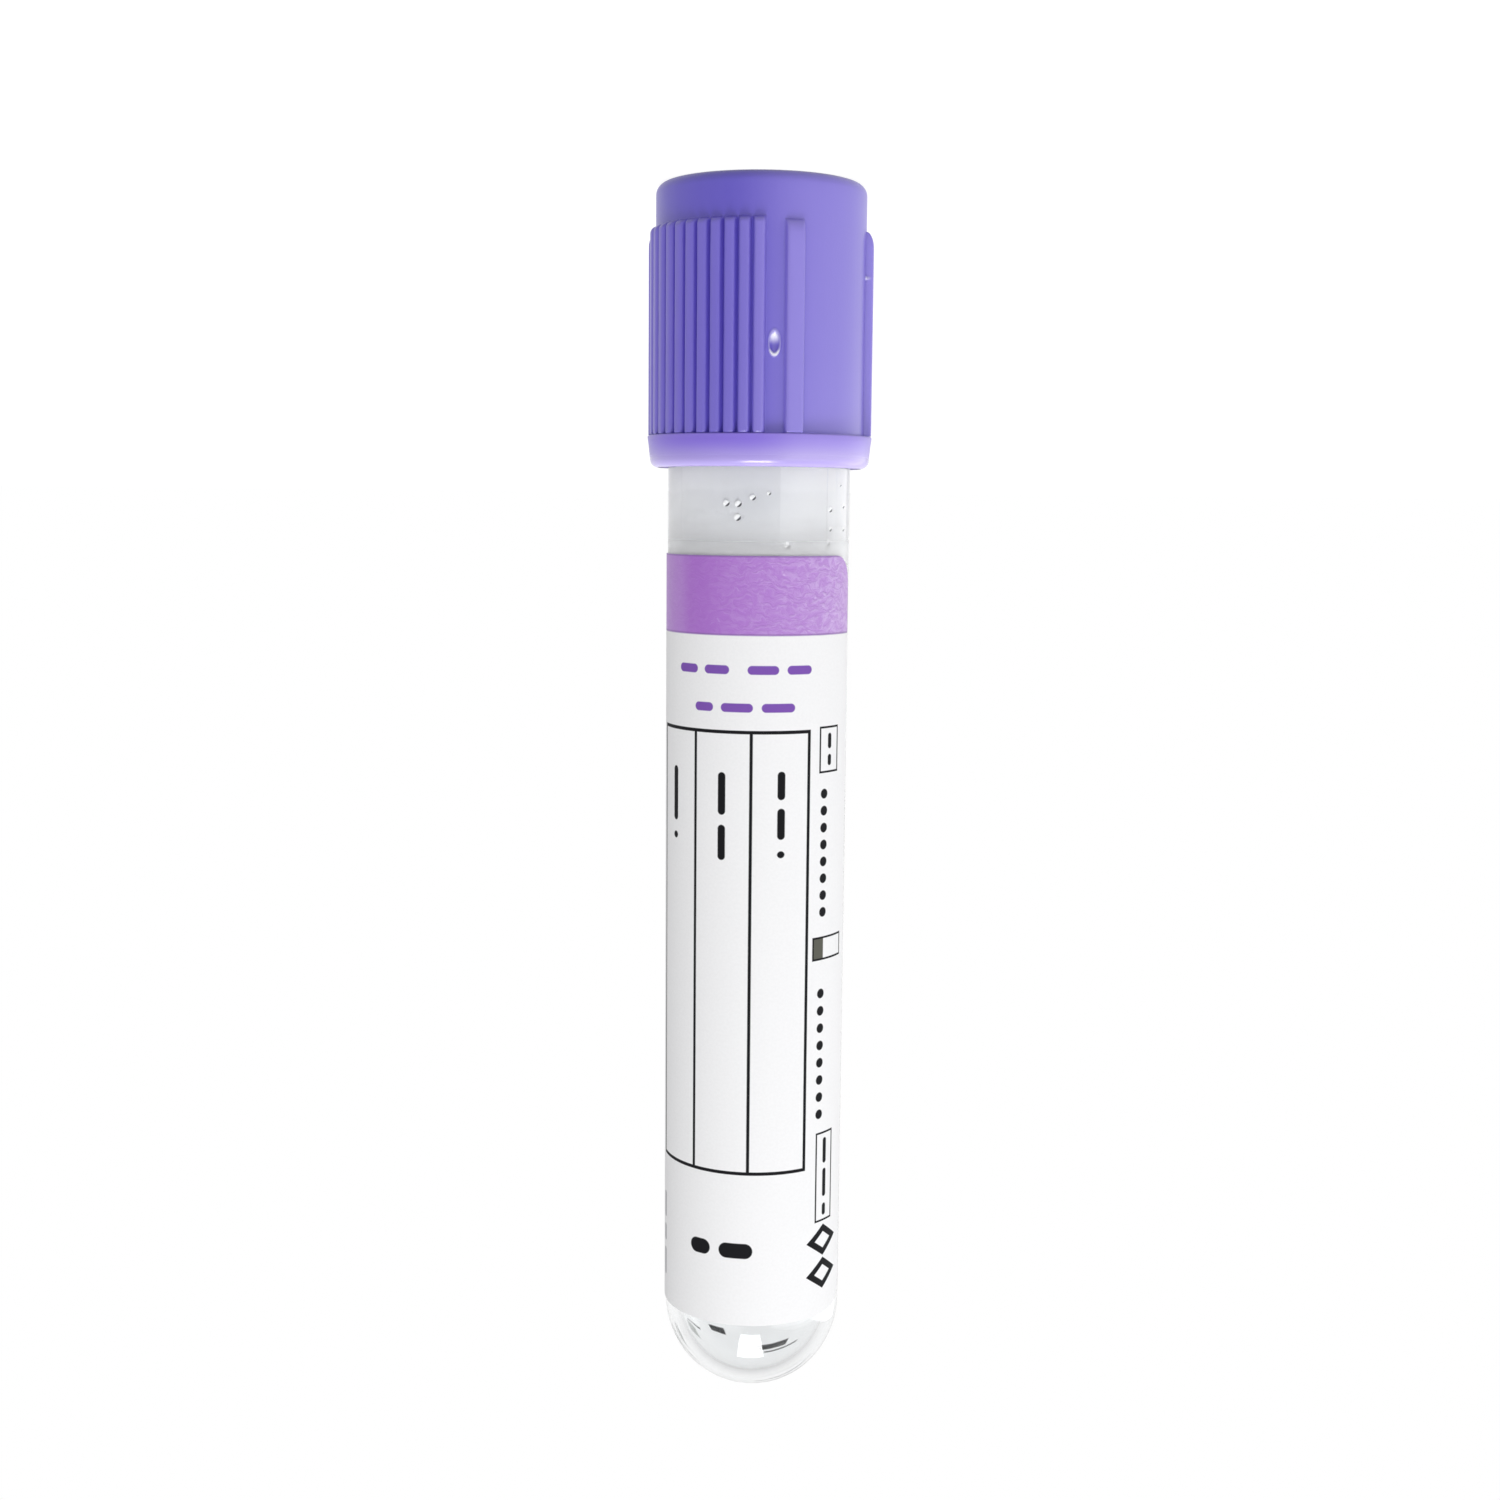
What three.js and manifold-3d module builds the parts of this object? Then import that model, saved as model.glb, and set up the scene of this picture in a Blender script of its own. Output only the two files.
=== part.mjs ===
// Blood collection tube, 13 x 75 mm, with a push-fit safety closure and a paper label.
//
// Four pieces: a clear round-bottomed tube, a rubber stopper pressed into its mouth, a ribbed
// plastic cap that holds the stopper and covers the tube's rim, and a label stuck round the tube.
// Each piece is drawn upright on one axis: z = 0 is the tip of the round bottom, +z points to the
// cap, and the angle 0 is the front, towards -y. A closed tube rolls when it is laid down, so it
// is then turned over to stand on its head, on the flat ring round the cap's opening.

import * as THREE from 'three';
import { mergeVertices } from 'three/addons/utils/BufferGeometryUtils.js';
import Module from 'manifold-3d';

const wasm = await Module();
wasm.setup();

// ---------------------------------------------------------------- driving dimensions, in mm

// Tube
const tubeLength = 75;
const tubeRimDiameter = 13;
const tubeEndDiameter = 12.87;
const tubeWall = 1;
const rimRounding = 0.3;

// Fits
const seatGap = 0.3;
const plugClearance = 0.12;
const headClearance = 0.12;
const skirtClearance = 0.3;
const beadClearance = 0.1;

// Stopper
const plugDepth = 8;
const plugTaperLength = 1.4;
const plugTaper = 0.5;
const flangeThickness = 2.4;
const neckSetback = 0.55;
const stopperHeadHeight = 10.5;
const needleWellDepth = 4;
const needleWellRadius = 4.2;
const needleWellTaper = 0.6;
const plugRecessDepth = 6.2;
const plugRecessRadius = 3.9;
const plugRecessTaper = 0.7;
const rubberEdge = 0.4;

// Cap
const capHeight = 19.65;
const capWall = 0.6;
const skirtDepth = 7.25;
const topEdgeRounding = 0.8;
const topOpeningRadius = 4.5;
const openingRounding = 0.35;
const beadHeight = 0.8;
const beadDrop = 0.5;
const skirtLeadIn = 0.4;

// Band round the foot of the cap
const bandHeight = 2.25;
const bandStep = 0.56;
const bandTaper = 0.18;
const bandRounding = 0.6;
const bandEdge = 0.12;

// Grip ribs
const ribHeight = 0.53;
const ribPitchCount = 48;
const ribsInGroup = 11;
const narrowRibWidth = 0.74;
const narrowRibShoulder = 0.7;
const wideRibWidth = 1.34;
const wideRibShoulder = 1.2;
const ribDrop = 2.9;
const ribEdge = 0.14;
const ribRoot = 0.3;
const gripSides = 2;
const ribGroupAngle = -38.6;
const thumbPanelAngle = 51.6;
const wideRibAngle = 34.1;

// Scar that the moulding gate leaves on the cap
const gateAngle = 7.1;
const gateHeight = 8.25;
const gateWidth = 0.8;
const gateLength = 1.8;
const gateDepth = 0.22;

// Label
const labelThickness = 0.08;
const adhesiveGap = 0.04;
const labelBottom = 6.65;
const labelHeight = 55.05;
const labelRightAngle = 75.5;
const labelLeftAngle = -230;
const labelCornerRadius = 2.2;

// Counts of the facets that stand for round forms
const roundFacetCount = 72;
const stopperFacetCount = 60;
const endArcCount = 10;
const capArcCount = 5;
const edgeArcCount = 3;
const labelFacetCount = 60;
const labelCornerCount = 4;
const scarFacetCount = 10;
const seamShare = 0.3;

// ---------------------------------------------------------------- sizes that follow from them

const tubeRimRadius = tubeRimDiameter / 2;
const tubeEndRadius = tubeEndDiameter / 2;
const boreRimRadius = tubeRimRadius - tubeWall;
const boreEndRadius = tubeEndRadius - tubeWall;

const plugRadius = boreRimRadius - plugClearance;
const headBottom = tubeLength + seatGap;
const capBore = tubeRimRadius + skirtClearance;
const flangeRadius = capBore - headClearance;
const beadRadius = tubeRimRadius + beadClearance;
const headRadius = flangeRadius - neckSetback;
const headTop = headBottom + stopperHeadHeight;
const flangeTop = headBottom + flangeThickness;

const capRadius = capBore + capWall;
const capBottom = tubeLength - skirtDepth;
const capTop = capBottom + capHeight;
const capUpperBore = headRadius + headClearance;
const capShoulder = flangeTop + seatGap;
const webBottom = headTop + seatGap;
const bandTop = capBottom + bandHeight;
const bandRadius = capRadius + bandStep;
const beadTop = headBottom - seatGap;

const labelTop = labelBottom + labelHeight;

// Outer radius of the tube's slightly tapered wall at a height.
function tubeRadiusAt(z) {
  const along = (z - tubeEndRadius) / (tubeLength - tubeEndRadius);
  return THREE.MathUtils.lerp(tubeEndRadius, tubeRimRadius, along);
}

// ---------------------------------------------------------------- shared operations

const point = (r, z) => new THREE.Vector2(r, z);

// Points of a circular arc in the half plane of a revolved profile, angles in degrees from +r.
function arc(centreR, centreZ, radius, fromAngle, toAngle, steps) {
  const points = [];
  for (let i = 0; i <= steps; i++) {
    const angle = THREE.MathUtils.degToRad(THREE.MathUtils.lerp(fromAngle, toAngle, i / steps));
    points.push(point(centreR + radius * Math.cos(angle), centreZ + radius * Math.sin(angle)));
  }
  return points;
}

// A geometry's corners welded into a closed solid, without the flat triangles at its poles.
function solidOf(geometry) {
  const bare = new THREE.BufferGeometry();
  bare.setAttribute('position', geometry.getAttribute('position'));
  bare.setIndex(geometry.index);
  const welded = mergeVertices(bare, 1e-4);
  const corners = welded.index.array;
  const triangles = [];
  for (let i = 0; i < corners.length; i += 3) {
    const [a, b, c] = [corners[i], corners[i + 1], corners[i + 2]];
    if (a !== b && b !== c && c !== a) triangles.push(a, b, c);
  }
  return new wasm.Manifold(new wasm.Mesh({
    numProp: 3,
    vertProperties: new Float32Array(welded.getAttribute('position').array),
    triVerts: new Uint32Array(triangles),
  }));
}

function geometryOf(solid) {
  const mesh = solid.getMesh();
  const geometry = new THREE.BufferGeometry();
  geometry.setAttribute('position', new THREE.BufferAttribute(mesh.vertProperties, 3));
  geometry.setIndex(new THREE.BufferAttribute(mesh.triVerts, 1));
  geometry.computeVertexNormals();
  return geometry;
}

// A profile of (r, z) points turned about the z axis. The first corner is turned a little away from
// the back, so that no corner lies on the part's middle planes.
function revolve(profile, facets) {
  const turned = new THREE.LatheGeometry(profile, facets, seamShare * 2 * Math.PI / facets);
  turned.rotateX(Math.PI / 2);
  return solidOf(turned);
}

// The frame at an angle round the axis: x points outwards, y up the axis and z along the surface.
function radialFrame(angleDegrees) {
  const angle = THREE.MathUtils.degToRad(angleDegrees);
  const outwards = new THREE.Vector3(Math.sin(angle), -Math.cos(angle), 0);
  const upwards = new THREE.Vector3(0, 0, 1);
  const sideways = new THREE.Vector3().crossVectors(outwards, upwards);
  return new THREE.Matrix4().makeBasis(outwards, upwards, sideways);
}

// ---------------------------------------------------------------- tube

// One clear moulding: a hemisphere at the bottom, a wall that widens a little towards the mouth,
// and a rounded rim.
function makeTube() {
  const rimOuter = tubeRimRadius - rimRounding;
  const rimInner = boreRimRadius + rimRounding;
  const rimZ = tubeLength - rimRounding;
  return revolve([
    ...arc(0, tubeEndRadius, tubeEndRadius, -90, 0, endArcCount),
    ...arc(rimOuter, rimZ, rimRounding, 0, 90, edgeArcCount),
    ...arc(rimInner, rimZ, rimRounding, 90, 180, edgeArcCount),
    ...arc(0, tubeEndRadius, boreEndRadius, 0, -90, endArcCount),
  ], roundFacetCount);
}

// ---------------------------------------------------------------- stopper

// One rubber moulding: a plug with a tapered lead and a hollow underside, a flange that rests over
// the tube's rim, and a narrower head with the well that a needle pierces.
function makeStopper() {
  const plugBottom = tubeLength - plugDepth;
  const recessTop = plugBottom + plugRecessDepth;
  const wellBottom = headTop - needleWellDepth;
  return revolve([
    point(0, recessTop),
    point(plugRecessRadius - plugRecessTaper, recessTop),
    point(plugRecessRadius, plugBottom),
    ...arc(plugRadius - plugTaper - rubberEdge, plugBottom + rubberEdge, rubberEdge, -90, 0, edgeArcCount),
    point(plugRadius, plugBottom + plugTaperLength),
    point(plugRadius, headBottom),
    ...arc(flangeRadius - rubberEdge, headBottom + rubberEdge, rubberEdge, -90, 0, edgeArcCount),
    ...arc(flangeRadius - rubberEdge, flangeTop - rubberEdge, rubberEdge, 0, 90, edgeArcCount),
    point(headRadius, flangeTop),
    ...arc(headRadius - rubberEdge, headTop - rubberEdge, rubberEdge, 0, 90, edgeArcCount),
    point(needleWellRadius, headTop),
    point(needleWellRadius - needleWellTaper, wellBottom),
    point(0, wellBottom),
  ], stopperFacetCount);
}

// ---------------------------------------------------------------- cap

// The cap without its ribs: an open skirt with a lead-in and a bead that snaps under the stopper's
// flange, a shoulder over that flange, and a web round the opening in the top.
function makeCapShell() {
  const beadMiddle = beadTop - beadHeight / 2;
  const beadBottom = beadTop - beadHeight;
  return revolve([
    point(capBore, capBottom + skirtLeadIn),
    point(capBore + skirtLeadIn, capBottom),
    ...arc(bandRadius - bandTaper - bandRounding, capBottom + bandRounding, bandRounding, -90, 0, capArcCount),
    point(bandRadius, bandTop - bandEdge),
    point(bandRadius - bandEdge, bandTop),
    point(capRadius, bandTop),
    ...arc(capRadius - topEdgeRounding, capTop - topEdgeRounding, topEdgeRounding, 0, 90, capArcCount),
    ...arc(topOpeningRadius + openingRounding, capTop - openingRounding, openingRounding, 90, 180, edgeArcCount),
    point(topOpeningRadius, webBottom),
    point(capUpperBore, webBottom),
    point(capUpperBore, capShoulder),
    point(capBore, capShoulder),
    point(capBore, beadTop),
    point(beadRadius, beadMiddle),
    point(capBore, beadBottom - beadDrop),
    point(capBore, capBottom + skirtLeadIn),
  ], roundFacetCount);
}

// A grip rib: its side view, with a rounded shoulder at the top and its foot in the band, given
// its width with softened edges.
function makeRib(width, shoulder, angle) {
  const inside = capRadius - ribRoot;
  const outside = capRadius + ribHeight;
  const foot = bandTop - ribRoot;
  const top = capTop - ribDrop;
  const side = new THREE.Shape();
  side.moveTo(inside, foot);
  side.lineTo(outside, foot);
  side.lineTo(outside, top - shoulder);
  side.quadraticCurveTo(outside, top - shoulder / 3, capRadius, top);
  side.lineTo(inside, top);
  const rib = new THREE.ExtrudeGeometry(side, {
    depth: width - 2 * ribEdge,
    curveSegments: edgeArcCount,
    bevelThickness: ribEdge,
    bevelSize: ribEdge,
    bevelOffset: -ribEdge,
    bevelSegments: 1,
  });
  rib.translate(0, 0, ribEdge - width / 2);
  rib.applyMatrix4(radialFrame(angle));
  return solidOf(rib);
}

// On each side of the cap, a group of narrow ribs for the fingers and, next to it, a plain panel
// between two wide ribs for the thumb.
function makeRibs() {
  const ribs = [];
  const pitch = 360 / ribPitchCount;
  for (let side = 0; side < gripSides; side++) {
    const turn = side * 360 / gripSides;
    for (let i = 0; i < ribsInGroup; i++) {
      const angle = ribGroupAngle + turn + (i - (ribsInGroup - 1) / 2) * pitch;
      ribs.push(makeRib(narrowRibWidth, narrowRibShoulder, angle));
    }
    for (const offset of [-wideRibAngle, wideRibAngle]) {
      ribs.push(makeRib(wideRibWidth, wideRibShoulder, thumbPanelAngle + turn + offset));
    }
  }
  return ribs;
}

// The shallow oval that the gate leaves between two ribs.
function makeGateScar() {
  const scar = new THREE.SphereGeometry(1, scarFacetCount, scarFacetCount / 2);
  scar.scale(gateDepth, gateLength / 2, gateWidth / 2);
  scar.translate(capRadius, capBottom + gateHeight, 0);
  scar.applyMatrix4(radialFrame(gateAngle));
  return solidOf(scar);
}

function makeCap() {
  return makeRibs().reduce((cap, rib) => cap.add(rib), makeCapShell()).subtract(makeGateScar());
}

// ---------------------------------------------------------------- label

// One thin sheet rolled round the tube. At each column it is a thin upright rectangle; near its two
// ends the columns shorten to round the corners.
function makeLabel() {
  const arcLength = (labelRightAngle - labelLeftAngle) * Math.PI / 180 * tubeRimRadius;
  const cornerAngle = labelCornerRadius / arcLength * (labelRightAngle - labelLeftAngle);
  const straight = labelRightAngle - labelLeftAngle - 2 * cornerAngle;
  const columns = [];
  for (let i = 0; i <= labelCornerCount; i++) {
    const swing = i / labelCornerCount * Math.PI / 2;
    columns.push([labelLeftAngle + cornerAngle * (1 - Math.cos(swing)), 1 - Math.sin(swing)]);
  }
  for (let i = 1; i < labelFacetCount; i++) {
    columns.push([labelLeftAngle + cornerAngle + straight * i / labelFacetCount, 0]);
  }
  for (let i = labelCornerCount; i >= 0; i--) {
    const swing = i / labelCornerCount * Math.PI / 2;
    columns.push([labelRightAngle - cornerAngle * (1 - Math.cos(swing)), 1 - Math.sin(swing)]);
  }
  const vertices = [];
  for (const [angle, shortening] of columns) {
    const frame = radialFrame(angle);
    const bottom = labelBottom + shortening * labelCornerRadius;
    const top = labelTop - shortening * labelCornerRadius;
    const section = [
      [tubeRadiusAt(bottom) + adhesiveGap, bottom],
      [tubeRadiusAt(bottom) + adhesiveGap + labelThickness, bottom],
      [tubeRadiusAt(top) + adhesiveGap + labelThickness, top],
      [tubeRadiusAt(top) + adhesiveGap, top],
    ];
    for (const [r, z] of section) {
      vertices.push(...new THREE.Vector3(r, z, 0).applyMatrix4(frame).toArray());
    }
  }
  const sectionCount = 4;
  const faces = [];
  for (let column = 0; column < columns.length - 1; column++) {
    for (let i = 0; i < sectionCount; i++) {
      const a = column * sectionCount + i;
      const b = column * sectionCount + (i + 1) % sectionCount;
      faces.push(a, a + sectionCount, b + sectionCount, a, b + sectionCount, b);
    }
  }
  const last = (columns.length - 1) * sectionCount;
  faces.push(0, 1, 2, 0, 2, 3);
  faces.push(last, last + 2, last + 1, last, last + 3, last + 2);
  const sheet = new THREE.BufferGeometry();
  sheet.setAttribute('position', new THREE.Float32BufferAttribute(vertices, 3));
  sheet.setIndex(faces);
  return solidOf(sheet);
}

// ---------------------------------------------------------------- materials

const clearPlastic = new THREE.MeshStandardMaterial({
  color: 0xe6ebee,
  roughness: 0.08,
  metalness: 0,
  transparent: true,
  opacity: 0.35,
});
const greyRubber = new THREE.MeshStandardMaterial({ color: 0x8d8b92, roughness: 0.75, metalness: 0 });
const violetPlastic = new THREE.MeshStandardMaterial({ color: 0x7a6bd0, roughness: 0.38, metalness: 0 });
const whitePaper = new THREE.MeshStandardMaterial({ color: 0xf2f2f4, roughness: 0.6, metalness: 0 });

function piece(name, solid, material) {
  const mesh = new THREE.Mesh(geometryOf(solid), material);
  mesh.name = name;
  return mesh;
}

// ---------------------------------------------------------------- assembly

const closedTube = new THREE.Group();
closedTube.add(
  piece('tube', makeTube(), clearPlastic),
  piece('stopper', makeStopper(), greyRubber),
  piece('cap', makeCap(), violetPlastic),
  piece('label', makeLabel(), whitePaper),
);

// Standing on its head: the cap's top is on the bench, the front still faces -y, and the origin is
// in the middle of the ring that it stands on.
closedTube.rotation.y = Math.PI;
closedTube.position.z = capTop;

const part = new THREE.Group();
part.add(closedTube);

export default part;
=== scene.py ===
import math

import bpy
import numpy as np
from mathutils import Matrix, Vector


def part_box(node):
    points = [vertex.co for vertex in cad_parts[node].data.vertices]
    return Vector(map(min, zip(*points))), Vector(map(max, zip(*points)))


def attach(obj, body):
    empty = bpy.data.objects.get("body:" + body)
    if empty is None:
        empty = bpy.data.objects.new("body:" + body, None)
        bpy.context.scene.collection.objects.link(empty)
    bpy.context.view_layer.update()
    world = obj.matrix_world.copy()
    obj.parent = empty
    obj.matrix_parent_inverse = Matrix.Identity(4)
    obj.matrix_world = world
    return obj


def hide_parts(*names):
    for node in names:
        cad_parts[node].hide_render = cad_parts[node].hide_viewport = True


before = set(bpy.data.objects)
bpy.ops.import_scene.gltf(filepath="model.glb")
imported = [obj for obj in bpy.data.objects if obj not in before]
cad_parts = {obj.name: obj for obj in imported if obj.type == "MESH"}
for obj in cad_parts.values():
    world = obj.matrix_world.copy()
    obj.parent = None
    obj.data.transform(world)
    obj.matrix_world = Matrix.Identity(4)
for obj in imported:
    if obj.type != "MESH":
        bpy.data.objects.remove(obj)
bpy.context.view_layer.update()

# ------------------------------------------------------------------------------------------ tube
# The tube is one injection moulding of clear polyester: a hemisphere at the bottom, a wall that
# widens a little towards the mouth, and a rounded rim. Its surface is as smooth as the mould.

MM = 0.001
TUBE_LENGTH = 75.0
RIM_RADIUS = 6.5
END_RADIUS = 6.435
WALL = 1.0
RIM_ROUNDING = 0.3

tube_low, tube_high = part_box("tube")
tube_middle = (tube_low + tube_high) / 2
# Every piece is drawn upright in mm, z = 0 at the tip of the round bottom and the front towards
# -y, and is then turned over to stand on the closure.
stand = (
    Matrix.Translation((tube_middle.x, tube_middle.y, tube_high.z))
    @ Matrix.Rotation(math.pi, 4, "Y")
    @ Matrix.Scale(MM, 4)
)


def tube_radius_at(height):
    """The outer radius of the tube's slightly tapered wall."""
    along = (height - END_RADIUS) / (TUBE_LENGTH - END_RADIUS)
    return END_RADIUS + (RIM_RADIUS - END_RADIUS) * along


def arc(centre_r, centre_z, radius, start, end, steps):
    """Points of a circular arc in the half plane of a turned profile, angles in degrees from +r."""
    angles = np.radians(np.linspace(start, end, steps + 1))
    return [(centre_r + radius * math.cos(a), centre_z + radius * math.sin(a)) for a in angles]


def straight(start, end, steps):
    """Points between two corners of a profile, without the corners themselves."""
    return [tuple(np.array(start) + (np.array(end) - start) * i / steps) for i in range(1, steps)]


def around(angle, radius, height):
    """The point at an angle from the front, in degrees, towards the label's right."""
    turn = math.radians(angle)
    return (radius * math.sin(turn), -radius * math.cos(turn), height)


def mesh_of(name, points, faces, face_corners=None):
    """A mesh of the given faces, with a UV map in mm where the corners' places are given."""
    mesh = bpy.data.meshes.new(name)
    mesh.from_pydata([tuple(p) for p in points], [], faces)
    if face_corners is not None:
        layer = mesh.uv_layers.new(name="surface_mm")
        layer.data.foreach_set("uv", np.array(face_corners, "f").ravel())
    mesh.polygons.foreach_set("use_smooth", np.ones(len(mesh.polygons), bool))
    mesh.update()
    return mesh


def turned(name, profile, columns):
    """A closed profile of (r, z) points turned about the axis; points on the axis become poles."""
    on_axis = 1e-6
    points, rings = [], []
    for r, z in profile:
        count = 1 if r < on_axis else columns
        rings.append(np.arange(count) + len(points))
        points += [around(360 * j / columns, r, z) for j in range(count)]
    closed = profile[0][0] >= on_axis
    faces = []
    for i in range(len(rings) if closed else len(rings) - 1):
        low, high = rings[i], rings[(i + 1) % len(rings)]
        for j in range(columns):
            k = (j + 1) % columns
            face = [low[j % len(low)], low[k % len(low)], high[k % len(high)], high[j % len(high)]]
            faces.append([int(v) for v in dict.fromkeys(face)])
    return mesh_of(name, points, faces)


def put(name, data):
    """A new object in the scene."""
    made = bpy.data.objects.new(name, data)
    bpy.context.scene.collection.objects.link(made)
    return made


def piece(name, mesh, material, body, replaced):
    """Places a finished mesh on the standing tube, on its body, and hides the solid it stands for."""
    mesh.transform(stand)
    mesh.materials.clear()
    mesh.materials.append(material)
    made = put(name, mesh)
    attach(made, body)
    if replaced:
        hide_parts(replaced)


class Wire:
    """A socket in a node tree. Sums written with it add their Math nodes."""

    def __init__(self, wiring, socket):
        self.wiring, self.socket = wiring, socket

    def output(self, name):
        """Another output of the same node."""
        return Wire(self.wiring, self.socket.node.outputs[name])

    def math(self, operation, *values):
        """A Math node on this socket and the given values."""
        sockets = dict(enumerate((self, *values)))
        return self.wiring.add("ShaderNodeMath", {"operation": operation}, sockets)

    def __add__(self, other):
        return self.math("ADD", other)

    def __sub__(self, other):
        return self.math("SUBTRACT", other)

    def __mul__(self, other):
        return self.math("MULTIPLY", other)

    def __truediv__(self, other):
        return self.math("DIVIDE", other)

    def __pow__(self, other):
        return self.math("POWER", other)

    def __rsub__(self, other):
        return self.wiring.add("ShaderNodeMath", {"operation": "SUBTRACT"}, {0: other, 1: self})

    def __abs__(self):
        return self.math("ABSOLUTE")

    __radd__, __rmul__ = __add__, __mul__

    def rise(self, low, high):
        """0 below low, 1 above high, and a smooth step between them."""
        return self.wiring.add(
            "ShaderNodeMapRange",
            {"interpolation_type": "SMOOTHSTEP"},
            {"Value": self, "From Min": low, "From Max": high, "To Min": 0.0, "To Max": 1.0},
        )

    def fall(self, low, high):
        """1 below low, 0 above high."""
        return 1 - self.rise(low, high)


class Wiring:
    """A node tree that is being built."""

    def __init__(self, tree):
        self.tree = tree
        tree.nodes.clear()

    def add(self, kind, settings=None, sockets=None, output=0):
        """Adds a node: its type, its settings, then the values or links of its sockets."""
        node = self.tree.nodes.new(kind)
        for name, value in (settings or {}).items():
            setattr(node, name, value)
        for name, value in (sockets or {}).items():
            if isinstance(value, Wire):
                self.tree.links.new(value.socket, node.inputs[name])
            else:
                node.inputs[name].default_value = value
        return Wire(self, node.outputs[output]) if node.outputs else None

    def blend(self, factor, first, second):
        """A colour between two others."""
        first, second = ((*c, 1) if isinstance(c, tuple) else c for c in (first, second))
        return self.add("ShaderNodeMix", {"data_type": "RGBA"}, {0: factor, 6: first, 7: second}, 2)

    def noise(self, place, scale, detail=2.0, roughness=0.5):
        """A cloudy pattern between 0 and 1."""
        sockets = {"Vector": place, "Scale": scale, "Detail": detail, "Roughness": roughness}
        return self.add("ShaderNodeTexNoise", None, sockets)

    def stretched(self, place, factors):
        """A place scaled along its axes, for a grain that runs one way."""
        return self.add("ShaderNodeVectorMath", {"operation": "MULTIPLY"}, {0: place, 1: factors})

    def bump(self, height, distance):
        """A surface normal that follows a fine relief of the given depth in metres."""
        return self.add("ShaderNodeBump", None, {"Height": height, "Distance": distance})


def new_material(name):
    """An empty material and the wiring of its nodes."""
    material = bpy.data.materials.new(name)
    material.use_nodes = True
    return material, Wiring(material.node_tree)


def plastic(wiring, sockets):
    """The surface of a moulding, a sheet or a droplet."""
    return wiring.add("ShaderNodeBsdfPrincipled", None, sockets)


CLEAR_TINT = (0.955, 0.965, 0.97)
PALE_MILK = (0.96, 0.965, 0.98)
SHADED_MILK = (0.76, 0.77, 0.80)
FILM_COVER = 0.85
CLEAR_IOR = 1.57
CLEAR_SHADOW = (0.96, 0.965, 0.97)
MILK_ROUGHNESS = 0.6
MID_WALL_RADIUS = 5.9
# Heights in mm between which the film sets in, between which its milk is painted darker as shade,
# and between which a pale painted fill above the label's edge sets in and fades.
FILM_START = (40.0, 58.0)
MILK_SHADE_HEIGHTS = (61.5, 65.5)
FILL_START = (60.0, 61.6)
FILL_END = (61.4, 64.6)
FILL_COVER = 0.4

clear_plastic, wiring = new_material("clear_polyester")
place = wiring.add("ShaderNodeTexCoord", output="Object")
apart = wiring.add("ShaderNodeSeparateXYZ", None, {0: place})
x, y = apart.output("X"), apart.output("Y")
height = (tube_high.z - apart.output("Z")) / MM
radius = (x * x + y * y) ** 0.5 / MM
# The sprayed additive leaves a thin milky film on the inside of the neck.
outside = radius.rise(MID_WALL_RADIUS, MID_WALL_RADIUS + 0.1)
film = (1 - outside) * height.rise(*FILM_START)
drag = wiring.noise(wiring.stretched(place, (1.0, 1.0, 0.12)), 420.0)
patches = wiring.noise(place, 500.0, 4.0)
solid = plastic(
    wiring,
    {
        "Base Color": (*CLEAR_TINT, 1),
        "Roughness": film * 0.3 + (wiring.noise(place, 900.0) * 0.03 + 0.01),
        "IOR": CLEAR_IOR,
        "Transmission Weight": 1.0,
        "Normal": wiring.bump(drag, 4e-6),
    },
)
# The milk is painted darker at the front, at the back behind it and higher up, as painted shade;
# just above the label's edge it stays pale.
front_shade = abs(x / (MM * MID_WALL_RADIUS) - 0.1).fall(0.0, 0.9)
milk_colour = wiring.blend(front_shade * height.rise(*MILK_SHADE_HEIGHTS), PALE_MILK, SHADED_MILK)
milk = plastic(wiring, {"Base Color": milk_colour, "Roughness": MILK_ROUGHNESS})
# Just above the label's edge a pale haze is painted on the outside of the wall: painted light
# that fills the shade the label's edge casts on the film.
painted_fill = outside * height.rise(*FILL_START) * height.fall(*FILL_END)
cover = film * (patches * 0.1 + FILM_COVER) + painted_fill * FILL_COVER
solid = wiring.add("ShaderNodeMixShader", None, {0: cover, 1: solid, 2: milk})
clear = wiring.add("ShaderNodeBsdfTransparent", None, {"Color": (*CLEAR_SHADOW, 1)})
shadow_ray = wiring.add("ShaderNodeLightPath", output="Is Shadow Ray")
both = wiring.add("ShaderNodeMixShader", None, {0: shadow_ray, 1: solid, 2: clear})
wiring.add("ShaderNodeOutputMaterial", None, {"Surface": both})

tube_profile = [
    *arc(0, END_RADIUS, END_RADIUS, -90, 0, 30),
    *straight((END_RADIUS, END_RADIUS), (RIM_RADIUS, TUBE_LENGTH - RIM_ROUNDING), 24),
    *arc(RIM_RADIUS - RIM_ROUNDING, TUBE_LENGTH - RIM_ROUNDING, RIM_ROUNDING, 0, 90, 5),
    *arc(RIM_RADIUS - WALL + RIM_ROUNDING, TUBE_LENGTH - RIM_ROUNDING, RIM_ROUNDING, 90, 180, 5),
    *straight((RIM_RADIUS - WALL, TUBE_LENGTH - RIM_ROUNDING), (END_RADIUS - WALL, END_RADIUS), 24),
    *arc(0, END_RADIUS, END_RADIUS - WALL, 0, -90, 30),
]
# The ends of the two round bottoms lie exactly on the axis.
tube_profile[0] = (0, 0)
tube_profile[-1] = (0, WALL)
tube_mesh = turned("tube_wall", tube_profile, 180)
piece("tube_wall", tube_mesh, clear_plastic, "tube", "tube")

# ----------------------------------------------------------------------------- dried droplets
# The additive that keeps the blood from clotting was sprayed into the tube and has dried: a few
# small round droplets still cling to the inside of the neck.

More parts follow.
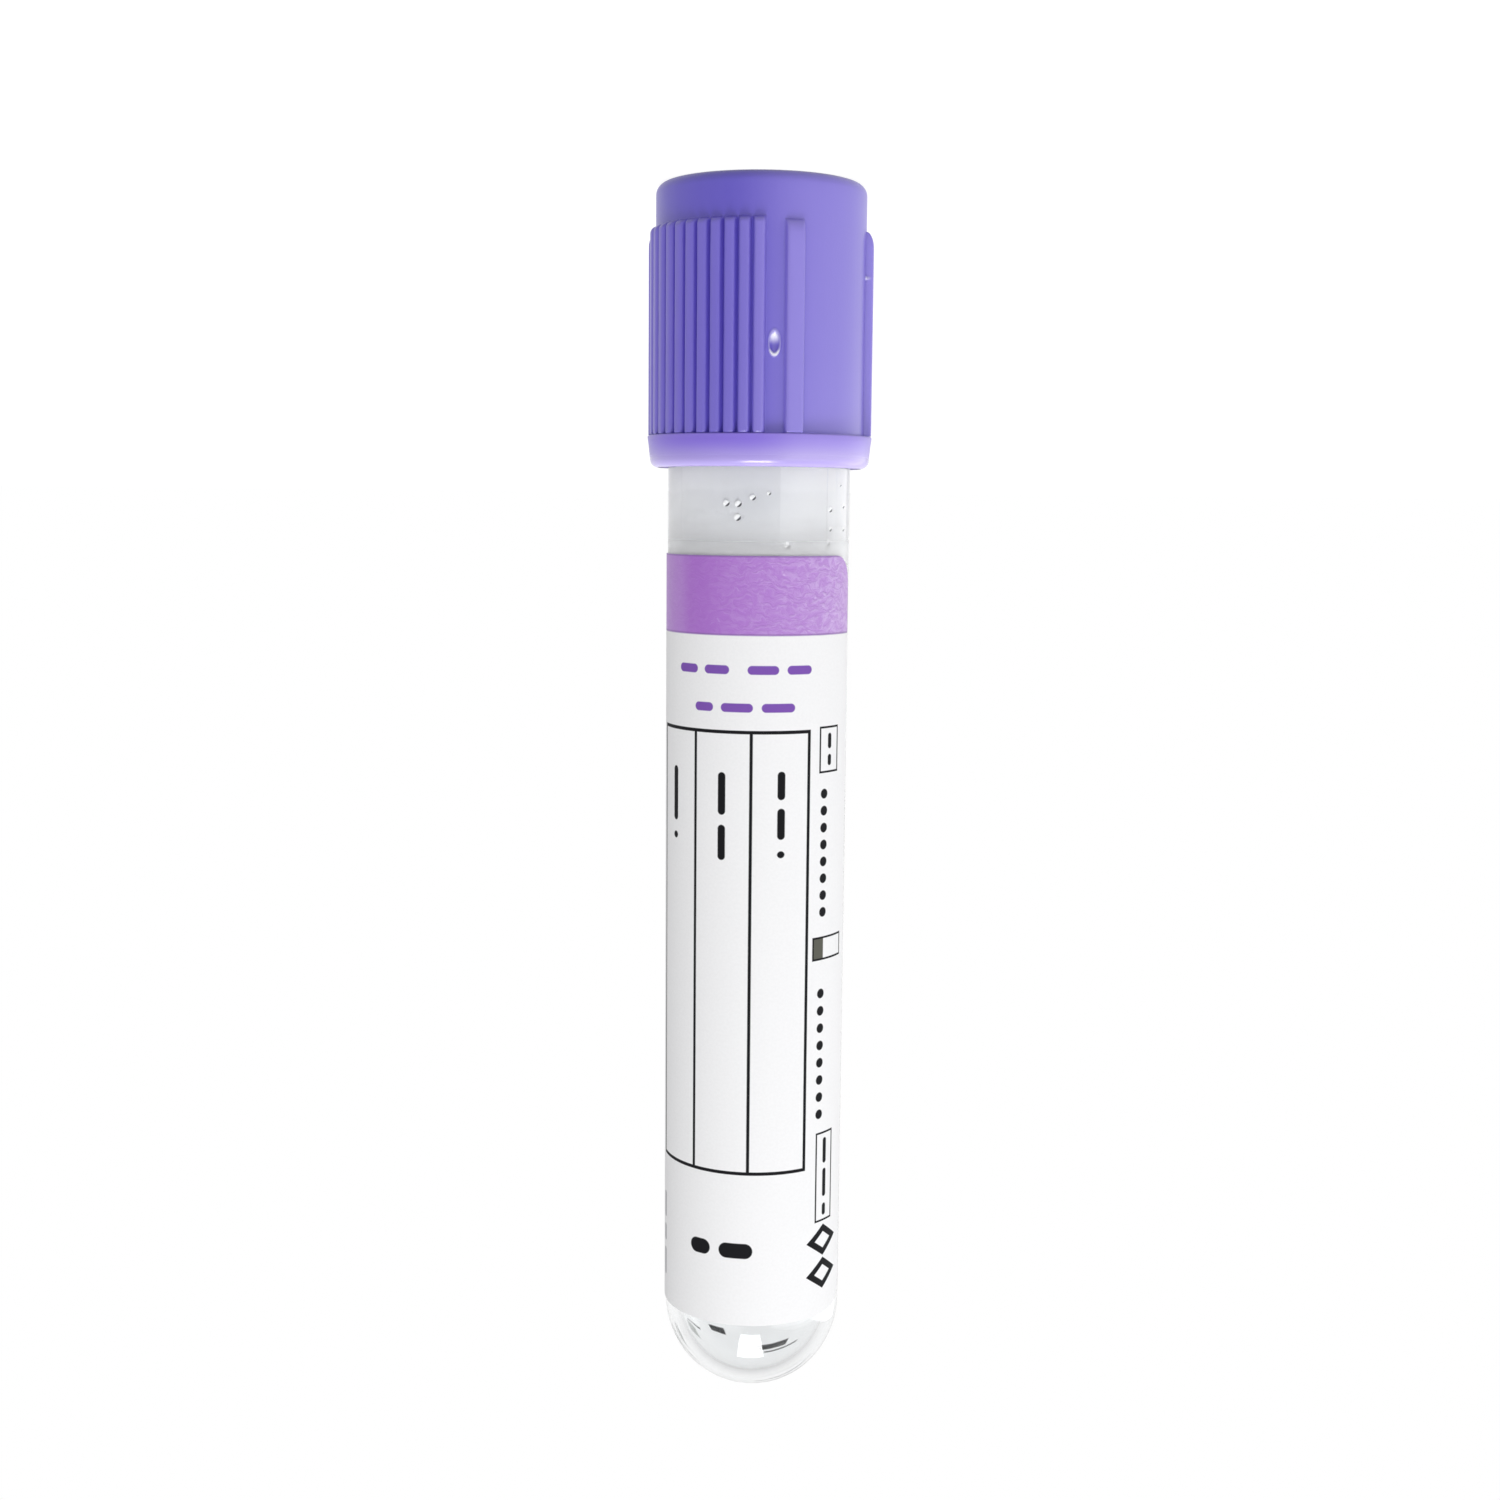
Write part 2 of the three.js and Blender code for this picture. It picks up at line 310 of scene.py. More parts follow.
# Angle from the front in degrees, height in mm, and width in mm.
DROPLETS = [
    (-22.7, 65.29, 0.46),
    (-14.3, 65.24, 0.46),
    (-4.4, 65.68, 0.41),
    (6.5, 65.97, 0.28),
    (-14.8, 64.32, 0.49),
    (19.3, 62.40, 0.49),
    (55.4, 64.90, 0.41),
    (55.6, 63.55, 0.34),
    (53.5, 62.59, 0.46),
    (73.2, 65.19, 0.44),
    (73.7, 63.55, 0.38),
    (68.2, 66.64, 0.29),
    (139.0, 64.81, 0.40),
    (-141.0, 65.48, 0.35),
]
DROPLET_FLATNESS = 0.42
DROPLET_SINK = 0.05
DROPLET_IOR = 1.45
# The droplets' white gives off a little light as a painted glint, and their dark rim is painted
# shade.
DROPLET_WHITE = (0.99, 0.99, 0.995)
DROPLET_RIM_SHADE = (0.06, 0.06, 0.07)
DROPLET_GLINT = 0.1
RIM_SHADE_EDGE = (0.13, 0.27)

droplet_material, wiring = new_material("dried_additive")
place = wiring.add("ShaderNodeTexCoord", output="Object")
rim_shade = wiring.add("ShaderNodeAttribute", {"attribute_name": "rim_shade"}, output="Fac")
# A little light of their own is a painted glint; the dark rim is painted shade.
solid = plastic(
    wiring,
    {
        "Base Color": wiring.blend(rim_shade, DROPLET_WHITE, DROPLET_RIM_SHADE),
        "Roughness": wiring.noise(place, 3000.0) * 0.1 + 0.04,
        "IOR": DROPLET_IOR,
        "Emission Color": wiring.blend(rim_shade, (1.0, 1.0, 1.0), (0.0, 0.0, 0.0)),
        "Emission Strength": DROPLET_GLINT,
    },
)
wiring.add("ShaderNodeOutputMaterial", None, {"Surface": solid})


def node_group(name, inputs):
    """An empty geometry tree with named number inputs."""
    tree = bpy.data.node_groups.new(name, "GeometryNodeTree")
    wiring = Wiring(tree)
    tree.interface.new_socket("Geometry", in_out="INPUT", socket_type="NodeSocketGeometry")
    for label in inputs:
        tree.interface.new_socket(label, in_out="INPUT", socket_type="NodeSocketFloat")
    tree.interface.new_socket("Geometry", in_out="OUTPUT", socket_type="NodeSocketGeometry")
    return tree, wiring, wiring.add("NodeGroupInput")


def grown(mesh, tree, sizes):
    """The plain mesh that a geometry tree makes from a start mesh at the given sizes."""
    start = put("start", mesh)
    modifier = start.modifiers.new("grow", "NODES")
    modifier.node_group = tree
    for item in tree.interface.items_tree:
        if item.in_out == "INPUT" and item.name in sizes:
            modifier[item.identifier] = float(sizes[item.name])
    evaluated = start.evaluated_get(bpy.context.evaluated_depsgraph_get())
    made = bpy.data.meshes.new_from_object(evaluated)
    start.modifiers.clear()
    bpy.data.objects.remove(start)
    return made


tree, wiring, given = node_group("droplets", ["Flatness"])
ball = wiring.add("GeometryNodeMeshIcoSphere", None, {"Radius": 0.5, "Subdivisions": 4})
size = wiring.add("GeometryNodeInputNamedAttribute", {"data_type": "FLOAT"}, {"Name": "width"})
spot = wiring.add("GeometryNodeInputPosition")
kept = wiring.add(
    "GeometryNodeStoreNamedAttribute",
    {"data_type": "FLOAT_VECTOR", "domain": "POINT"},
    {"Geometry": given.output("Geometry"), "Name": "middle", "Value": spot},
)
apart = wiring.add("ShaderNodeSeparateXYZ", None, {0: spot})
outward = wiring.add("ShaderNodeCombineXYZ", None, {0: apart.output("X"), 1: apart.output("Y")})
facing = wiring.add("FunctionNodeAlignRotationToVector", {"axis": "Z"}, {"Vector": outward})
depth = size * given.output("Flatness")
flat = wiring.add("ShaderNodeCombineXYZ", None, {0: size, 1: size, 2: depth})
placed = wiring.add(
    "GeometryNodeInstanceOnPoints",
    None,
    {"Points": kept, "Instance": ball, "Rotation": facing, "Scale": flat},
)
real = wiring.add("GeometryNodeRealizeInstances", None, {0: placed})
# Each droplet has a thin dark rim towards its lower right side: painted shade.
vector_kind = {"data_type": "FLOAT_VECTOR"}
middle = wiring.add("GeometryNodeInputNamedAttribute", vector_kind, {"Name": "middle"})
off = wiring.add("ShaderNodeVectorMath", {"operation": "SUBTRACT"}, {0: spot, 1: middle})
off = wiring.add("ShaderNodeSeparateXYZ", None, {0: off})
toward_rim = (off.output("X") - off.output("Z")) * 0.7 / size
real = wiring.add(
    "GeometryNodeStoreNamedAttribute",
    {"data_type": "FLOAT", "domain": "POINT"},
    {"Geometry": real, "Name": "rim_shade", "Value": toward_rim.rise(*RIM_SHADE_EDGE)},
)
painted = wiring.add("GeometryNodeSetMaterial", None, {0: real, "Material": droplet_material})
wiring.add("NodeGroupOutput", None, {0: painted})

inside = [tube_radius_at(h) - WALL + DROPLET_SINK for _, h, _ in DROPLETS]
places = [around(angle, r, h) for (angle, h, _), r in zip(DROPLETS, inside)]
spots = mesh_of("droplet_spots", places, [])
widths = spots.attributes.new("width", "FLOAT", "POINT")
widths.data.foreach_set("value", [w for _, _, w in DROPLETS])
droplet_mesh = grown(spots, tree, {"Flatness": DROPLET_FLATNESS})
droplet_mesh.polygons.foreach_set("use_smooth", np.ones(len(droplet_mesh.polygons), bool))
piece("dried_droplets", droplet_mesh, droplet_material, "tube", None)

# --------------------------------------------------------------------------------------- stopper
# One moulding of grey butyl rubber: a plug with a tapered lead and a hollow underside, a flange
# over the tube's rim, and a narrower head with the well that the needle pierces.

PLUG_DEPTH = 8.0
PLUG_RADIUS = 5.38
PLUG_TAPER = 0.5
PLUG_TAPER_LENGTH = 1.4
RECESS_DEPTH = 6.2
RECESS_RADIUS = 3.9
RECESS_TAPER = 0.7
HEAD_BOTTOM = 75.3
FLANGE_TOP = 77.7
FLANGE_RADIUS = 6.68
HEAD_TOP = 85.8
HEAD_RADIUS = 6.13
WELL_DEPTH = 4.0
WELL_RADIUS = 4.2
WELL_TAPER = 0.6
RUBBER_EDGE = 0.4
RUBBER_DARK = (0.245, 0.238, 0.255)
RUBBER_PALE = (0.33, 0.32, 0.335)

rubber, wiring = new_material("butyl_rubber")
place = wiring.add("ShaderNodeTexCoord", output="Object")
bloom = wiring.noise(place, 700.0, 4.0)
speck = wiring.noise(place, 9000.0)
solid = plastic(
    wiring,
    {
        "Base Color": wiring.blend(bloom.rise(0.35, 0.7), RUBBER_DARK, RUBBER_PALE),
        "Roughness": bloom * 0.2 + 0.6,
        "Normal": wiring.bump(speck + bloom, 1.2e-5),
    },
)
wiring.add("ShaderNodeOutputMaterial", None, {"Surface": solid})

plug_bottom = TUBE_LENGTH - PLUG_DEPTH
recess_top = plug_bottom + RECESS_DEPTH
well_bottom = HEAD_TOP - WELL_DEPTH
edge = RUBBER_EDGE
fine = edge / 4
stopper_profile = [
    (0, recess_top),
    *straight((0, recess_top), (RECESS_RADIUS - RECESS_TAPER, recess_top), 3),
    *arc(RECESS_RADIUS - RECESS_TAPER - fine, recess_top - fine, fine, 90, 0, 3),
    *arc(RECESS_RADIUS + fine, plug_bottom + fine, fine, 180, 270, 3),
    *arc(PLUG_RADIUS - PLUG_TAPER - edge, plug_bottom + edge, edge, -90, 0, 4),
    (PLUG_RADIUS, plug_bottom + PLUG_TAPER_LENGTH),
    (PLUG_RADIUS, plug_bottom + PLUG_TAPER_LENGTH + fine),
    (PLUG_RADIUS, HEAD_BOTTOM - fine),
    (PLUG_RADIUS + fine, HEAD_BOTTOM),
    *arc(FLANGE_RADIUS - edge, HEAD_BOTTOM + edge, edge, -90, 0, 4),
    *arc(FLANGE_RADIUS - edge, FLANGE_TOP - edge, edge, 0, 90, 4),
    (HEAD_RADIUS + fine, FLANGE_TOP),
    (HEAD_RADIUS, FLANGE_TOP + fine),
    *arc(HEAD_RADIUS - edge, HEAD_TOP - edge, edge, 0, 90, 4),
    *arc(WELL_RADIUS + fine, HEAD_TOP - fine, fine, 90, 180, 3),
    *arc(WELL_RADIUS - WELL_TAPER - fine, well_bottom + fine, fine, 0, -90, 3),
    *straight((WELL_RADIUS - WELL_TAPER - fine, well_bottom), (0, well_bottom), 3),
    (0, well_bottom),
]
stopper_mesh = turned("stopper_rubber", stopper_profile, 120)
piece("stopper_rubber", stopper_mesh, rubber, "closure", "stopper")

# ------------------------------------------------------------------------------------------- cap
# One moulding of violet polyethylene: a skirt round the tube's rim with a smooth band at its
# foot, groups of narrow grip ribs for the fingers and, between wide ribs, plain panels for the
# thumb. The gate has left a small oval hollow beside the ribs.

CAP_BOTTOM = 67.75
CAP_TOP = 87.4
CAP_RADIUS = 7.4
CAP_BORE = 6.8
CAP_UPPER_BORE = 6.25
CAP_SHOULDER = 78.0
WEB_BOTTOM = 86.1
OPENING_RADIUS = 4.5
OPENING_ROUNDING = 0.35
TOP_EDGE_ROUNDING = 0.8
BEAD_RADIUS = 6.6
BEAD_MIDDLE = 74.6
BEAD_FOOT = 73.7
BEAD_TOP = 75.0
LEAD_IN = 0.4
BAND_TOP = 70.0
BAND_RADIUS = 7.96
BAND_TAPER = 0.18
BAND_ROUNDING = 0.6
BAND_EDGE = 0.12
CAP_COLUMNS = 720
PANEL_ANGLE = 51.6

WALL_VIOLET = (0.096, 0.066, 0.515)
PALE_VIOLET = (0.250, 0.200, 0.680)
BAND_VIOLET = (0.225, 0.145, 0.700)
EDGE_VIOLET = (0.460, 0.380, 0.800)
# A white painted on as highlights round the gate and on the nick.
GATE_HIGHLIGHT_WHITE = (0.93, 0.92, 1.00)

violet, wiring = new_material("violet_polyethylene")
place = wiring.add("ShaderNodeTexCoord", output="Object")
apart = wiring.add("ShaderNodeSeparateXYZ", None, {0: place})
height = (tube_high.z - apart.output("Z")) / MM
# The wall is painted palest over the two thumb panels, which face each other across the cap, as a
# painted sheen. The rib crests are painted paler than the grooves, as painted light that shines
# through the ribs, and the wall is a little paler towards the band. Cloud and flow give a faint
# random tone.
across, ahead = math.sin(math.radians(PANEL_ANGLE)), math.cos(math.radians(PANEL_ANGLE))
toward_panel = abs(apart.output("X") * across + apart.output("Y") * ahead) / (MM * CAP_RADIUS)
cloud = wiring.noise(place, 160.0, 3.0)
flow = wiring.noise(wiring.stretched(place, (1.0, 1.0, 0.06)), 1500.0, 3.0)
grain = wiring.noise(place, 7000.0, 3.0)
rib = wiring.add("ShaderNodeAttribute", {"attribute_name": "rib"}, output="Fac")
low = height.fall(BAND_TOP, BAND_TOP + 6)
sheen_and_tone = toward_panel.rise(0.33, 1.02) * 0.82 + (cloud + flow) * 0.05 + rib * 0.32 + low * 0.06
wall_colour = wiring.blend(sheen_and_tone, WALL_VIOLET, PALE_VIOLET)
# The skirt's foot is a single open wall that light shines through; the band is painted paler for
# it, most of all at its open edge and over the thumb panels, as painted light. Round the gate's
# hollow and on the nick, white is painted on as highlights.
band_painted_light = height.fall(CAP_BOTTOM + 0.1, BAND_TOP - 0.3) + toward_panel.rise(0.55, 1.0) * 0.3
band_colour = wiring.blend(band_painted_light, BAND_VIOLET, EDGE_VIOLET)
colour = wiring.blend(height.fall(BAND_TOP - 0.1, BAND_TOP + 0.05), wall_colour, band_colour)
gate_highlight = wiring.add("ShaderNodeAttribute", {"attribute_name": "gate_highlight"}, output="Fac")
polished = height.fall(CAP_BOTTOM + 0.5, CAP_BOTTOM + 1.0)
solid = plastic(
    wiring,
    {
        "Base Color": wiring.blend(gate_highlight, colour, GATE_HIGHLIGHT_WHITE),
        "Roughness": (cloud * 0.12 + 0.3) * (1 - (gate_highlight + polished) * 0.5),
        "Specular IOR Level": 0.8,
        "Normal": wiring.bump(grain + flow * 0.5, 6e-6),
    },
)
wiring.add("ShaderNodeOutputMaterial", None, {"Surface": solid})

band_arc_r = BAND_RADIUS - BAND_TAPER - BAND_ROUNDING
# The wall's rows are closest at the gate's hollow, at the nick and at the tops of the ribs.
wall_heights = [
    BAND_TOP + 0.06,
    BAND_TOP + 0.16,
    BAND_TOP + 0.4,
    *np.arange(71.2, 74.8, 0.8),
    *np.arange(74.9, 77.2, 0.09),
    *np.arange(77.8, 80.4, 0.8),
    *np.arange(80.6, 81.3, 0.09),
    *np.arange(82.0, 83.0, 0.5),
    *np.arange(83.2, 84.6, 0.06),
    84.9,
    85.4,
    86.0,
]
cap_profile = [
    (CAP_BORE, CAP_BOTTOM + LEAD_IN),
    (CAP_BORE + LEAD_IN / 2, CAP_BOTTOM + LEAD_IN / 2),
    *arc(CAP_BORE + LEAD_IN + 0.06, CAP_BOTTOM + 0.06, 0.06, 225, 270, 2),
    *arc(band_arc_r, CAP_BOTTOM + BAND_ROUNDING, BAND_ROUNDING, -90, 0, 8),
    *straight((band_arc_r + BAND_ROUNDING, CAP_BOTTOM + BAND_ROUNDING), (BAND_RADIUS, BAND_TOP), 3),
    *arc(BAND_RADIUS - BAND_EDGE, BAND_TOP - BAND_EDGE, BAND_EDGE, 0, 90, 3),
    (CAP_RADIUS + 0.1, BAND_TOP),
    *[(CAP_RADIUS, h) for h in wall_heights],
    *arc(CAP_RADIUS - TOP_EDGE_ROUNDING, CAP_TOP - TOP_EDGE_ROUNDING, TOP_EDGE_ROUNDING, 0, 90, 8),
    *arc(OPENING_RADIUS + OPENING_ROUNDING, CAP_TOP - OPENING_ROUNDING, OPENING_ROUNDING, 90, 180, 4),
    (OPENING_RADIUS, WEB_BOTTOM + 0.05),
    (OPENING_RADIUS + 0.05, WEB_BOTTOM),
    (CAP_UPPER_BORE - 0.05, WEB_BOTTOM),
    (CAP_UPPER_BORE, WEB_BOTTOM - 0.05),
    (CAP_UPPER_BORE, CAP_SHOULDER + 0.05),
    (CAP_UPPER_BORE + 0.05, CAP_SHOULDER),
    (CAP_BORE - 0.05, CAP_SHOULDER),
    (CAP_BORE, CAP_SHOULDER - 0.05),
    (CAP_BORE, BEAD_TOP),
    (BEAD_RADIUS, BEAD_MIDDLE),
    (CAP_BORE, BEAD_FOOT),
]

# The ribs swell out of the plain wall: each has a soft crown, a foot in the band and a rounded
# shoulder at its top. Angles are in degrees from the front, lengths and heights in mm.
RIB_SIZES = {
    "Rib Height": 0.53,
    "Pitch": 7.5,
    "Group Angle": -38.5,
    "Group Reach": 37.5,
    "Narrow Half Width": 0.46,
    "Narrow Shoulder": 0.5,
    "Narrow Top": 84.3,
    "Wide Offset": 55.9,
    "Wide Half Width": 0.70,
    "Wide Shoulder": 1.15,
    "Wide Top": 84.15,
    "Waver": 0.05,
    "Gate Angle": 7.1,
    "Gate Height": 76.0,
    "Gate Half Width": 0.36,
    "Gate Half Length": 0.75,
    "Gate Depth": 0.26,
    "Gate Lip": 0.08,
    "Nick Angle": 79.6,
    "Nick Height": 80.94,
    "Nick Reach": 0.2,
}

tree, wiring, given = node_group("cap_ribs", RIB_SIZES)
spot = wiring.add("GeometryNodeInputPosition")
apart = wiring.add("ShaderNodeSeparateXYZ", None, {0: spot})
x, y, height = (apart.output(axis) for axis in "XYZ")
radius = (x * x + y * y).math("SQRT")
angle = x.math("ARCTAN2", y * -1) * (180 / math.pi)
waver = (wiring.noise(wiring.stretched(spot, (0.9, 0.9, 0.35)), 1.0) - 0.5) * given.output("Waver")
mm_per_degree = (CAP_RADIUS + RIB_SIZES["Rib Height"]) * math.pi / 180
# Both halves of the cap are alike, so an angle is measured from the nearer group's middle.
from_group = (angle - given.output("Group Angle") + 90).math("FLOORED_MODULO", 180) - 90
reach = given.output("Group Reach")
in_group = from_group.math("MINIMUM", reach).math("MAXIMUM", reach * -1)
nearest = (in_group / given.output("Pitch")).math("ROUND") * given.output("Pitch")
off_narrow = abs((from_group - nearest) * mm_per_degree + waver)
off_wide = abs((abs(from_group) - given.output("Wide Offset")) * mm_per_degree)
# The higher the power, the flatter the crown and the steeper the sides.
NARROW_POWER = 4
WIDE_POWER = 9


def rib_section(off, half_width, power):
    """A rib's height across its width: a flat crown that rounds off to steep sides."""
    share = (off / half_width).math("MINIMUM", 1)
    return (1 - share**power) ** 0.5


def shoulder(kind):
    """The rib's height near its top, from 1 down to 0 along a quarter of an ellipse."""
    length = given.output(kind + " Shoulder")
    down = (height - given.output(kind + " Top") + length) / length
    down = down.math("MAXIMUM", 0).math("MINIMUM", 1)
    return (1 - down * down) ** 0.5


narrow = rib_section(off_narrow, given.output("Narrow Half Width"), NARROW_POWER)
wide = rib_section(off_wide, given.output("Wide Half Width"), WIDE_POWER)
rib = (narrow * shoulder("Narrow")).math("MAXIMUM", wide * shoulder("Wide"))


def oval_at(name, half_width, half_length):
    """0 in the middle of an oval on the wall and 1 along its rim, and how far up it a place is."""
    across = (angle - given.output(name + " Angle")) * (CAP_RADIUS * math.pi / 180) / half_width
    along = (height - given.output(name + " Height")) / half_length
    return (across * across + along * along) ** 0.5, along


oval, along = oval_at("Gate", given.output("Gate Half Width"), given.output("Gate Half Length"))
nick, _ = oval_at("Nick", given.output("Nick Reach"), given.output("Nick Reach"))
hollow = (1 - oval * oval).math("MAXIMUM", 0) * given.output("Gate Depth")
lip = (1 - abs(oval - 1.12) / 0.22).math("MAXIMUM", 0) * given.output("Gate Lip")
BURR_HEIGHT = 0.12
burr = nick.fall(0.3, 1.0) * BURR_HEIGHT
# White is painted round the gate's hollow and on the nick as highlights.
dome = oval.fall(0.75, 1.0) * along.rise(-0.25, 0.75)
ring = oval.rise(0.85, 1.0) * oval.fall(1.1, 1.3)
gate_highlight = dome + ring * (along.fall(-0.95, -0.45) + 0.2) + nick.fall(0.4, 1.0) * 0.6
# Only the plain wall above the band moves, and not the band, the top or the bore.
above_band = height.rise(BAND_TOP - 0.001, BAND_TOP + 0.001)
on_wall = above_band * radius.rise(CAP_RADIUS - 0.002, CAP_RADIUS - 0.001)
raised = CAP_RADIUS + rib * given.output("Rib Height") - hollow + lip + burr
swell = (raised - radius).math("MAXIMUM", CAP_RADIUS - radius - hollow) * on_wall / radius + 1
moved = wiring.add("ShaderNodeCombineXYZ", None, {0: x * swell, 1: y * swell, 2: height})
shaped = given.output("Geometry")
for label, mark in (("gate_highlight", gate_highlight.math("MINIMUM", 1)), ("rib", rib)):
    shaped = wiring.add(
        "GeometryNodeStoreNamedAttribute",
        {"data_type": "FLOAT", "domain": "POINT"},
        {"Geometry": shaped, "Name": label, "Value": mark * on_wall},
    )
shaped = wiring.add("GeometryNodeSetPosition", None, {0: shaped, "Position": moved})
real = wiring.add("GeometryNodeRealizeInstances", None, {0: shaped})
painted = wiring.add("GeometryNodeSetMaterial", None, {0: real, "Material": violet})
wiring.add("NodeGroupOutput", None, {0: painted})

cap_mesh = grown(turned("cap_blank", cap_profile, CAP_COLUMNS), tree, RIB_SIZES)
piece("ribbed_cap", cap_mesh, violet, "closure", "cap")

# ----------------------------------------------------------------------------------------- label
# One sheet of white paper with rounded corners, stuck round the tube so that a clear strip is
# left open. A purple band is printed along its top, and the rest holds plain ruled fields.

LABEL_BOTTOM = 6.65
LABEL_TOP = 61.7
LABEL_RIGHT = 75.5
LABEL_LEFT = -230.0
LABEL_CORNER = 2.2
LABEL_THICKNESS = 0.08
LABEL_GAP = 0.012
LABEL_RADIUS = 6.57
BAND_FOOT = 56.24

PAPER = (0.88, 0.88, 0.89)
INK = (0.004, 0.004, 0.006)
GREY_INK = (0.30, 0.30, 0.33)
OLIVE_INK = (0.105, 0.105, 0.085)
HEADING_INK = (0.20, 0.085, 0.42)
BAND_PURPLE = (0.385, 0.144, 0.585)
BAND_SHEEN = (0.72, 0.58, 0.86)
BAND_LINE = (0.24, 0.13, 0.38)

paper, wiring = new_material("label_paper")
sheet = wiring.add("ShaderNodeUVMap", {"uv_map": "surface_mm"})
apart = wiring.add("ShaderNodeSeparateXYZ", None, {0: sheet})
u, v = apart.output("X"), apart.output("Y")
SOFT = 0.035
FINE_LINE = 0.13
LINE = 0.23
HEADING_STROKE = 0.62
FIELD_STROKE = 0.56
NUMBER_DOT = 0.70


def bar(left, right, foot, top, soft=SOFT):
    """A filled upright rectangle, its places in mm from the front line and from the tip."""
    wide = abs(u - (left + right) / 2).fall((right - left) / 2 - soft, (right - left) / 2 + soft)
    tall = abs(v - (foot + top) / 2).fall((top - foot) / 2 - soft, (top - foot) / 2 + soft)
    return wide * tall


def outline(across, along, half_width, half_length, line):
    """The outline of a box round a middle, from the two places measured from that middle."""
    edge = (abs(across) - half_width).math("MAXIMUM", abs(along) - half_length)
    return abs(edge).fall(line / 2 - SOFT / 2, line / 2 + SOFT)


def frame_lines(left, right, foot, top, line):
    """The outline of a rectangle."""
    middle_u, middle_v = (left + right) / 2, (foot + top) / 2
    return outline(u - middle_u, v - middle_v, (right - left) / 2, (top - foot) / 2, line)


def union(masks):
    """Whatever any of the masks covers."""
    total = masks[0]
    for mask in masks[1:]:
        total = total.math("MAXIMUM", mask)
    return total


def diamond(middle_u, middle_v, half_width, half_height, line):
    """A thick open diamond."""
    edge = abs(u - middle_u) / half_width + abs(v - middle_v) / half_height - 1
    return abs(edge).fall(line / half_width / 2, line / half_width / 2 + 0.05)


def stroke(along, across, start, end, middle, thickness):
    """A straight stroke with round ends."""
    reach = (end - start - thickness) / 2
    past = (abs(along - (start + end) / 2) - reach).math("MAXIMUM", 0)
    aside = across - middle
    distance = (past * past + aside * aside) ** 0.5
    return distance.fall(thickness / 2 - SOFT, thickness / 2 + SOFT)


def words(along, across, middle, thickness, *ends):
    """A line of plain strokes, one from each start to each end, where words would stand."""
    return union([stroke(along, across, start, end, middle, thickness) for start, end in ends])


def dots(along, across, start, end, count, middle, size):
    """An evenly spaced row of dots, where a number would stand."""
    pitch = (end - start) / count
    step = ((along - start) / pitch).math("FLOOR").math("MAXIMUM", 0).math("MINIMUM", count - 1)
    past, aside = along - start - (step + 0.5) * pitch, across - middle
    return ((past * past + aside * aside) ** 0.5).fall(size / 2 - SOFT, size / 2 + SOFT)


label_end = math.radians(LABEL_RIGHT) * LABEL_RADIUS
heading = union(
    [
        words(u, v, 53.85, HEADING_STROKE, (-6.3, -4.5), (-3.9, -2.0), (-0.7, 1.5), (2.1, 4.0)),
        words(u, v, 51.23, HEADING_STROKE, (-4.7, -3.2), (-2.6, -0.3), (0.3, 2.7)),
    ]
)
FIELD_EDGES = (-8.93, -4.66, -0.40, 3.87)
FIELD_FOOT = 17.94
FIELD_TOP = 49.53
HALF_BOX = (4.45, 7.7, 33.14, 34.70)
SMALL_STROKE = FIELD_STROKE * 0.7
fields = [frame_lines(FIELD_EDGES[0], FIELD_EDGES[-1], FIELD_FOOT, FIELD_TOP, LINE)]
for side in FIELD_EDGES[1:-1]:
    fields.append(bar(side - LINE / 2, side + LINE / 2, FIELD_FOOT, FIELD_TOP))
fields += [
    words(v, u, 1.75, FIELD_STROKE, (40.7, 41.2), (42.0, 44.2), (44.8, 46.8)),
    words(v, u, -2.50, FIELD_STROKE, (40.5, 43.0), (43.7, 46.7)),
    words(v, u, -6.90, FIELD_STROKE, (41.6, 42.1), (42.9, 46.8)),
    dots(v, u, 35.94, 45.63, 8, 5.35, NUMBER_DOT),
    dots(v, u, 21.12, 31.27, 8, 5.25, NUMBER_DOT),
    words(u, v, 12.2, 2 * FIELD_STROKE, (-4.9, -3.2), (-2.5, 0.0)),
    frame_lines(*HALF_BOX, FINE_LINE),
    diamond(5.9, 12.25, 1.3, 0.9, 0.75),
    diamond(5.9, 9.75, 1.3, 0.9, 0.75),
    frame_lines(4.89, 6.87, 46.57, 49.73, FINE_LINE),
    frame_lines(5.04, 6.85, 13.75, 20.30, FINE_LINE),
    words(v, u, 5.88, SMALL_STROKE, (47.0, 47.8), (48.2, 49.3)),
    words(v, u, 5.94, SMALL_STROKE, (14.1, 15.0), (15.5, 17.6), (18.0, 19.9)),
]
half_fill = bar(HALF_BOX[0], HALF_BOX[0] + 1.0, *HALF_BOX[2:])
thin = words(v, u, -8.95, FIELD_STROKE, (8.5, 10.6), (11.1, 12.4), (12.9, 14.9))
print_mask = union(fields)

fibre = wiring.noise(sheet, 5.0, 4.0)
# The band's gloss film lies in fine crinkles. Its purple is painted lighter towards the right, with
# painted highlights on the crinkles and small painted glints: a painted sheen.
warp = wiring.noise(sheet, 0.9).output("Color")
warp_sockets = {0: warp, 1: (1.6, 1.6, 0), 2: sheet}
warped = wiring.add("ShaderNodeVectorMath", {"operation": "MULTIPLY_ADD"}, warp_sockets)
crinkle = wiring.noise(wiring.stretched(warped, (0.65, 1.6, 1.0)), 2.2, 5.0, 0.65)
band_glint = wiring.noise(wiring.stretched(warped, (0.8, 1.0, 1.0)), 4.5)
rightward = (u / 12 + 0.5).math("MINIMUM", 1.0).math("MAXIMUM", 0.15)
painted_sheen = (crinkle.rise(0.40, 0.66) * 0.34 + band_glint.rise(0.64, 0.74) * 0.5 + 0.30) * rightward
band_mask = v.rise(BAND_FOOT - 0.03, BAND_FOOT + 0.03)
